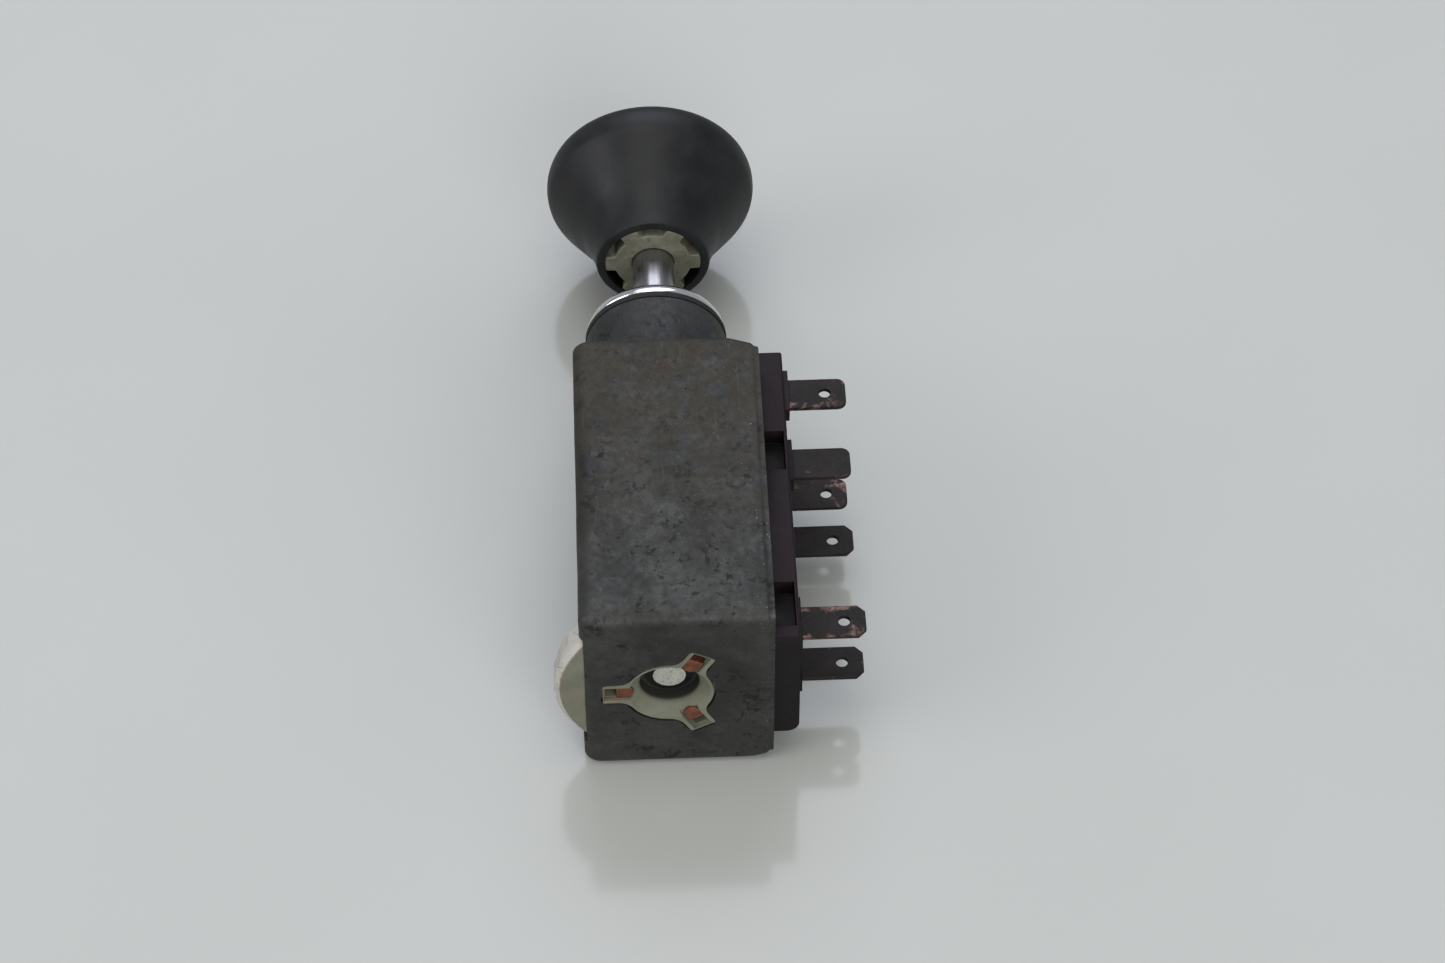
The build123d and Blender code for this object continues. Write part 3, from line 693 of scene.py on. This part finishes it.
def prism(name, outline, start, end, axis):
    """A closed prism with an outline in millimetres, from start to end along Y or X."""
    bm = bmesh.new()
    rings = []
    for along in (start, end):
        place = (lambda a, b: (a, along, b)) if axis == "Y" else (lambda a, b: (along, a, b))
        rings.append([bm.verts.new(Vector(place(a, b)) * MM) for a, b in outline])
    count = len(outline)
    for i in range(count):
        k = (i + 1) % count
        bm.faces.new((rings[0][i], rings[0][k], rings[1][k], rings[1][i]))
    bm.faces.new(rings[0])
    bm.faces.new(list(reversed(rings[1])))
    return linked(name, closed_up(bm, name))


def armed_outline():
    """Outline of the opening: a disc with three arms, softly blended into it."""
    points = []
    for i in range(OPENING_STEPS):
        angle = 2 * math.pi * i / OPENING_STEPS
        total = OPENING_RADIUS ** HUB_BLEND
        for arm in ARM_ANGLES:
            turn = angle - math.radians(arm)
            if math.cos(turn) > 0:
                along = (math.cos(turn) / ARM_LENGTH) ** ARM_BLEND
                across = (abs(math.sin(turn)) / ARM_HALF) ** ARM_BLEND
                total += (along + across) ** (-HUB_BLEND / ARM_BLEND)
        r = total ** (1 / HUB_BLEND)
        points.append((r * math.cos(angle), r * math.sin(angle)))
    return points


def build_can(material):
    """The drawn can: shell, wall thickness, its cut-outs and eased edges."""
    work = linked("can_work", can_shell())
    wall = work.modifiers.new("wall", "SOLIDIFY")
    wall.thickness = SHEET * MM
    wall.offset = -1.0
    rear, front = CAN_LOW.y + SHEET - 0.15, high("rheostat_ceramic").y + 0.3
    slot = [(rear, -SLOT_HALF), (front, -SLOT_HALF), (front, SLOT_HALF), (rear, SLOT_HALF)]
    neck_hole = circle(NECK_HOLE, CIRCLE_SEGMENTS)
    cutters = [
        prism("cut_opening", armed_outline(), CAN_LOW.y - 1, CAN_LOW.y + 1.8, "Y"),
        prism("cut_neck", neck_hole, CAN_HIGH.y - 2, CAN_HIGH.y + 1, "Y"),
        prism("cut_slot", slot, CAN_LOW.x - 1, CAN_LOW.x + 2.6, "X"),
    ]
    for cutter in cutters:
        cut = work.modifiers.new(cutter.name, "BOOLEAN")
        cut.object = cutter
        cut.operation = "DIFFERENCE"
        cut.solver = "EXACT"
    bpy.context.view_layer.update()
    graph = bpy.context.evaluated_depsgraph_get()
    mesh = bpy.data.meshes.new_from_object(work.evaluated_get(graph))
    for cutter in (*cutters, work):
        bpy.data.objects.remove(cutter)
    piece = add_piece("can_drawn", mesh, material, "housing_can", crease_degrees=38)
    return eased(piece, EASED, above_degrees=50)


# ---- Other pieces ---------------------------------------------------------

# Chips in the ceramic disc's rim.
CHIP_REACH = 1.0
CHIP_SIZE = 2.6
CHIP_DEPTH = 0.5

# For each blade, how much oxide has rubbed off it and how far the wear sits to one side.
BLADE_WEAR = {1: (0.46, 0.7), 2: (0.42, 0.8), 3: (0.60, -1.3), 4: (0.10, 0.0), 5: (0.60, -0.3), 6: (0.20, 0.2)}


def build_ceramic(material):
    """The dimmer's ceramic disc, its rim uneven where it has chipped."""
    piece = softened("rheostat_ceramic", 0.22, material)
    for vertex in piece.data.vertices:
        place = vertex.co / MM
        if math.hypot(place.x, place.z) > DISC_RADIUS - CHIP_REACH:
            chip = max(0.0, noise.noise(place / CHIP_SIZE)) * CHIP_DEPTH
            vertex.co.x *= 1 - chip / DISC_RADIUS
            vertex.co.z *= 1 - chip / DISC_RADIUS


def live_spring(node, material):
    """A rigid copy of a coil spring's CAD mesh, with its material, in place of the node."""
    piece = linked(node + "_coil", frame["nodes"][node].data.copy())
    piece.data.materials.clear()
    piece.data.materials.append(material)
    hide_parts(node)
    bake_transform(piece)


def build_outside():
    """The pieces that show, each with its detailed mesh."""
    build_can(weathered_zinc("can_zinc", (0.045, 0.045, 0.043)))
    neck_zinc = weathered_zinc("neck_zinc", (0.048, 0.052, 0.058), rear_stain=0.6, stains=0.5)
    softened("neck_sleeve", 0.10, neck_zinc)
    softened("panel_washer", 0.10, black_fibre())
    softened("bezel_nut", 0.12, bright_chrome())
    softened("spindle", 0.06, polished_steel())
    build_knob(black_moulding())
    softened("knob_insert", 0.25, olive_moulding())
    softened("terminal_base", 0.40, dark_bakelite())
    for number, (bare, lean) in BLADE_WEAR.items():
        copper = tarnished_copper(number, bare, lean)
        softened(f"terminal_{number}", 0.12, copper)
    boss_face, hub_face = low("rheostat_ceramic").y, low("wiper_hub").y
    # Both ceramics get painted shade deep in their hollows, and the disc's rim is partly a painted highlight.
    cream = steatite(
        "cream_steatite", (0.125, 0.127, 0.092), 0.85, rim=DISC_RADIUS - 0.7, shaded_below=boss_face + 1.7
    )
    white = steatite("white_steatite", (0.32, 0.32, 0.28), 0.6, flecks=0.8, shaded_below=hub_face + 1.0)
    build_ceramic(cream)
    softened("wiper_hub", 0.20, white)
    softened("rheostat_lugs", 0.12, dull_copper())


def build_inside():
    """The pieces inside the can, with their CAD shapes."""
    steel = inner_metal("spring_steel", (0.26, 0.26, 0.26))
    brass = inner_metal("rolled_brass", (0.58, 0.44, 0.20))
    copper = inner_metal("wiped_copper", (0.62, 0.36, 0.25), rough=0.28)
    painted = {
        "guide_bushing": brass, "dimmer_strap_feed": brass, "dimmer_strap_out": brass, "wiper_arm": brass,
        "bridge_front": copper, "bridge_rear": copper, "detent_ball": steel,
        # The clip is painted near black, partly as black oxide and partly as painted shade in the dish round
        # the spindle.
        "hub_clip": inner_metal("blackened_and_shaded_clip", (0.030, 0.030, 0.030), rough=0.5),
        "detent_strip": inner_metal("hardened_strip", (0.42, 0.42, 0.42)),
        "thrust_washer": steel, "spindle_circlip": steel,
        "resistance_coil": wound_wire(), "contact_carriage": brown_moulding(),
    }
    for node, material in painted.items():
        paint(node, material)
    for bridge in ("bridge_front", "bridge_rear"):
        spring = bridge + "_spring"
        live_spring(spring, steel)
    live_spring("detent_spring", steel)


# ---- Setting --------------------------------------------------------------

# The camera, as fitted to the object: angles in degrees, lengths in millimetres.
CAMERA_ELEVATION = 49.9
CAMERA_YAW = 2.2065
CAMERA_ROLL = -0.2009
CAMERA_DISTANCE = 580.4
CAMERA_AIM = (9.72, -48.75, 19.69)
CAMERA_LENS = 88.7

TABLE_HALF = 3.0           # metres

# Each soft lamp: place, aim and size in metres, power in watts, colour.
LAMPS = {
    "window": ((0.05, 1.42, 1.69), (0, -0.03, 0), (1.7, 1.3), 21.0, (0.84, 0.88, 1.0)),
    "side_fill": ((-1.5, -0.5, 0.9), (0, -0.03, 0), (0.9, 0.9), 10.0, (0.97, 0.98, 1.0)),
    "overhead_fill": ((-0.1, -0.2, 1.4), (0, -0.03, 0), (1.0, 1.0), 7.0, (1.0, 0.99, 0.95)),
    "room_fill": ((0.3, -1.2, 0.6), (0, -0.05, 0), (0.9, 0.9), 12.0, (0.96, 0.98, 1.0)),
}
ROOM_COLOUR = (0.90, 0.94, 1.0, 1)
ROOM_STRENGTH = 0.36


def add_camera():
    """Camera at the reference viewing angle."""
    elevation, yaw, roll = (math.radians(v) for v in (CAMERA_ELEVATION, CAMERA_YAW, CAMERA_ROLL))
    ahead = math.cos(elevation)
    forward = Vector((math.sin(yaw) * ahead, math.cos(yaw) * ahead, -math.sin(elevation)))
    level = Vector((math.cos(yaw), -math.sin(yaw), 0))
    upward = level.cross(forward)
    right = level * math.cos(roll) + upward * math.sin(roll)
    upper = upward * math.cos(roll) - level * math.sin(roll)
    data = bpy.data.cameras.new("camera")
    data.lens = CAMERA_LENS
    data.sensor_width = 36.0
    data.clip_start = 0.01
    data.clip_end = 20.0
    camera = linked("camera", data)
    place = (Vector(CAMERA_AIM) - forward * CAMERA_DISTANCE) * MM
    turn = Matrix((right, upper, -forward)).transposed()
    camera.matrix_world = Matrix.Translation(place) @ turn.to_4x4()
    bpy.context.scene.camera = camera


def add_floor():
    """Pale glossy table top under the can."""
    bm = bmesh.new()
    bmesh.ops.create_grid(bm, x_segments=1, y_segments=1, size=TABLE_HALF)
    mesh = bpy.data.meshes.new("table_top")
    bm.to_mesh(mesh)
    bm.free()
    mesh.materials.append(pale_table())
    floor = linked("table_top", mesh)
    floor.location.z = FLOOR_Z * MM


def add_lamp(name, place, aim, size, power, colour):
    """A soft rectangular lamp."""
    data = bpy.data.lights.new(name, "AREA")
    data.shape = "RECTANGLE"
    data.size, data.size_y = size
    data.energy = power
    data.color = colour
    lamp = linked(name, data)
    lamp.location = place
    lamp.rotation_mode = "QUATERNION"
    lamp.rotation_quaternion = (Vector(aim) - Vector(place)).to_track_quat("-Z", "Y")


def add_light():
    """Daylight from a wide window behind the object, soft fills and a dim room."""
    world = bpy.data.worlds.new("dim_room")
    world.use_nodes = True
    background = world.node_tree.nodes["Background"].inputs
    background["Color"].default_value = ROOM_COLOUR
    background["Strength"].default_value = ROOM_STRENGTH
    bpy.context.scene.world = world
    for name, (place, aim, size, power, colour) in LAMPS.items():
        add_lamp(name, place, aim, size, power, colour)


build_outside()
build_inside()
add_floor()
add_light()
add_camera()
bpy.context.scene.view_settings.view_transform = "Standard"
